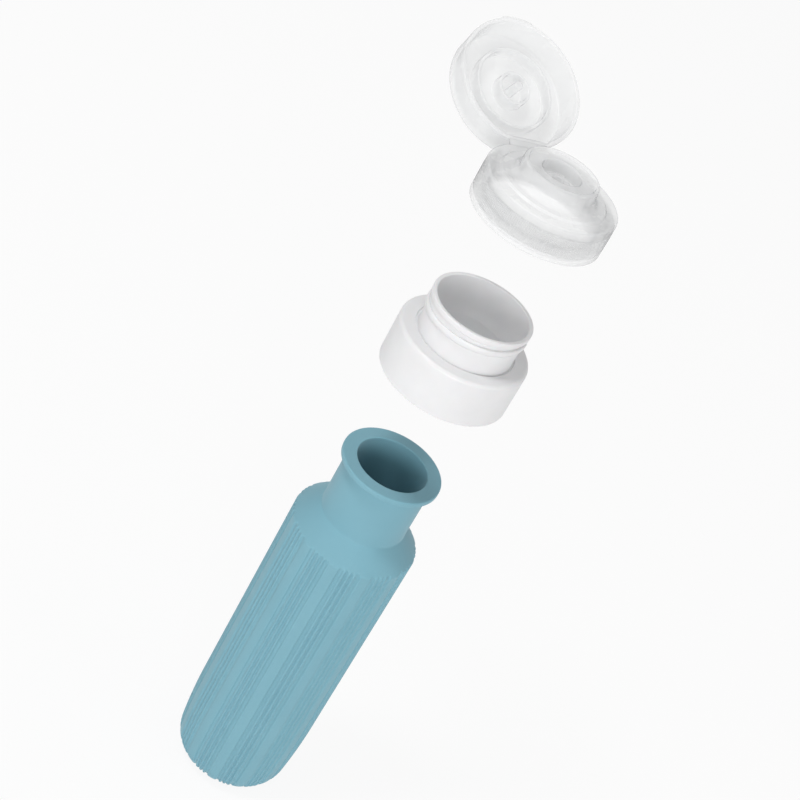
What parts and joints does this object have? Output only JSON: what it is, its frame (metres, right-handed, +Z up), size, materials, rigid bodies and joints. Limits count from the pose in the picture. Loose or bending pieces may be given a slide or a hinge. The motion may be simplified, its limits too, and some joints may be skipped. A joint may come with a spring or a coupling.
{
  "type": "travel silicone bottle",
  "caption": "Soft ribbed travel bottle with a wide lipped mouth, a rigid screw collar lifted off its shoulder, and a clear flip-top pouring cap with its lid open on a living hinge.",
  "frame": {"origin": "centre of the bottle's standing face", "axes": "+Z up along the bottle's axis through collar and cap; the lid's hinge is at +Y and its thumb lip at -Y; +X completes the right-handed frame"},
  "size_m": [0.04, 0.074, 0.2559],
  "materials": {
    "soft_silicone": "matt teal-blue silicone rubber",
    "white_plastic": "satin white polypropylene",
    "clear_plastic": "natural translucent polypropylene"
  },
  "bodies": {
    "bottle": {"bottle_body": "soft_silicone", "grip_ribs": "soft_silicone", "bottle_lip": "soft_silicone"},
    "collar": {"screw_collar": "white_plastic"},
    "cap": {"cap_base": "clear_plastic", "living_hinge": "clear_plastic"},
    "lid": {"flip_lid": "clear_plastic", "lid_seal": "clear_plastic"}
  },
  "joints": [
    {"name": "collar_slide", "type": "slide", "parent": "bottle", "child": "collar", "axis": [0, 0, 1], "range_m": [-0.0605, 0], "deforming": ["bottle_lip"]},
    {"name": "cap_screw", "type": "slide", "parent": "collar", "child": "cap", "axis": [0, 0, 1], "range_m": [-0.0395, 0]},
    {"name": "lid_hinge", "type": "hinge", "parent": "cap", "child": "lid", "pos_m": [0, 0.0184, 0.23674], "axis": [1, 0, 0], "range_deg": [-20.4, 149.6], "deforming": ["living_hinge"]}
  ]
}
